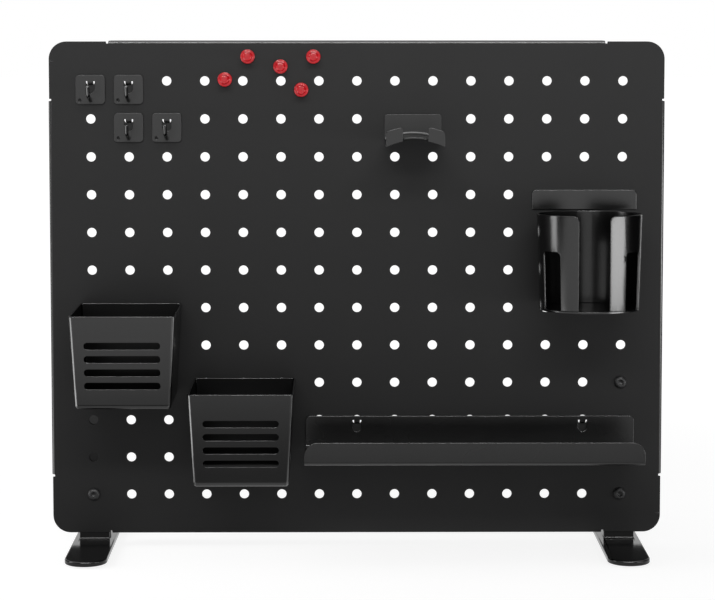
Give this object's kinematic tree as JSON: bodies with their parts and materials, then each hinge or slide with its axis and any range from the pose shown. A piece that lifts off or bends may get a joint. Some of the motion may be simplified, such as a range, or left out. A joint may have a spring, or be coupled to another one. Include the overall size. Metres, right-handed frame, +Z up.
{
  "type": "pegboard desk organizer",
  "caption": "Free-standing black steel pegboard on two flat feet with hang-in bins, hooks, cup holder, headphone rest, pen shelf and red magnet pins.",
  "frame": {"origin": "on the desk, under the middle of the panel's front face", "axes": "+Z up, +X to the viewer's right along the panel, +Y behind the panel"},
  "size_m": [0.503, 0.1694, 0.4169],
  "materials": {
    "black_powder_coat": "fine matt powder coat on steel sheet",
    "satin_black_coat": "satin black coat on steel sheet",
    "gloss_black_enamel": "gloss black enamel on steel",
    "black_oxide_screw": "black oxide steel",
    "black_rubber": "matt rubber",
    "red_plastic": "glossy moulded plastic",
    "magnet_nickel": "nickel-plated magnet"
  },
  "bodies": {
    "board": {"pegboard_panel": "black_powder_coat", "left_foot": "gloss_black_enamel", "right_foot": "gloss_black_enamel", "left_foot_pads": "black_rubber", "right_foot_pads": "black_rubber", "foot_screws": "black_oxide_screw"},
    "hook_1": {"hook_1_plate": "black_powder_coat", "hook_1_wire": "gloss_black_enamel"},
    "hook_2": {"hook_2_plate": "black_powder_coat", "hook_2_wire": "gloss_black_enamel"},
    "hook_3": {"hook_3_plate": "black_powder_coat", "hook_3_wire": "gloss_black_enamel"},
    "hook_4": {"hook_4_plate": "black_powder_coat", "hook_4_wire": "gloss_black_enamel"},
    "upper_bin": {"upper_bin": "black_powder_coat"},
    "lower_bin": {"lower_bin": "black_powder_coat"},
    "headphone_rest": {"headphone_rest": "black_powder_coat"},
    "cup_holder": {"cup_sleeve": "satin_black_coat", "cup_base": "satin_black_coat"},
    "pen_shelf": {"pen_shelf": "black_powder_coat"},
    "pin_1": {"pin_1_cap": "red_plastic", "pin_1_magnet": "magnet_nickel"},
    "pin_2": {"pin_2_cap": "red_plastic", "pin_2_magnet": "magnet_nickel"},
    "pin_3": {"pin_3_cap": "red_plastic", "pin_3_magnet": "magnet_nickel"},
    "pin_4": {"pin_4_cap": "red_plastic", "pin_4_magnet": "magnet_nickel"},
    "pin_5": {"pin_5_cap": "red_plastic", "pin_5_magnet": "magnet_nickel"}
  },
  "joints": [
    {"name": "hook_1_lift", "type": "slide", "parent": "board", "child": "hook_1", "axis": [0, 0, 1], "range_m": [0, 0.0041]},
    {"name": "hook_2_lift", "type": "slide", "parent": "board", "child": "hook_2", "axis": [0, 0, 1], "range_m": [0, 0.0041]},
    {"name": "hook_3_lift", "type": "slide", "parent": "board", "child": "hook_3", "axis": [0, 0, 1], "range_m": [0, 0.0041]},
    {"name": "hook_4_lift", "type": "slide", "parent": "board", "child": "hook_4", "axis": [0, 0, 1], "range_m": [0, 0.0041]},
    {"name": "upper_bin_lift", "type": "slide", "parent": "board", "child": "upper_bin", "axis": [0, 0, 1], "range_m": [0, 0.0041]},
    {"name": "lower_bin_lift", "type": "slide", "parent": "board", "child": "lower_bin", "axis": [0, 0, 1], "range_m": [0, 0.0041]},
    {"name": "headphone_rest_lift", "type": "slide", "parent": "board", "child": "headphone_rest", "axis": [0, 0, 1], "range_m": [0, 0.0041]},
    {"name": "cup_holder_lift", "type": "slide", "parent": "board", "child": "cup_holder", "axis": [0, 0, 1], "range_m": [0, 0.0041]},
    {"name": "pen_shelf_lift", "type": "slide", "parent": "board", "child": "pen_shelf", "axis": [0, 0, 1], "range_m": [0, 0.0041]},
    {"name": "pin_1_pull", "type": "slide", "parent": "board", "child": "pin_1", "axis": [0, -1, 0], "range_m": [0, 0.03]},
    {"name": "pin_2_pull", "type": "slide", "parent": "board", "child": "pin_2", "axis": [0, -1, 0], "range_m": [0, 0.03]},
    {"name": "pin_3_pull", "type": "slide", "parent": "board", "child": "pin_3", "axis": [0, -1, 0], "range_m": [0, 0.03]},
    {"name": "pin_4_pull", "type": "slide", "parent": "board", "child": "pin_4", "axis": [0, -1, 0], "range_m": [0, 0.03]},
    {"name": "pin_5_pull", "type": "slide", "parent": "board", "child": "pin_5", "axis": [0, -1, 0], "range_m": [0, 0.03]}
  ]
}
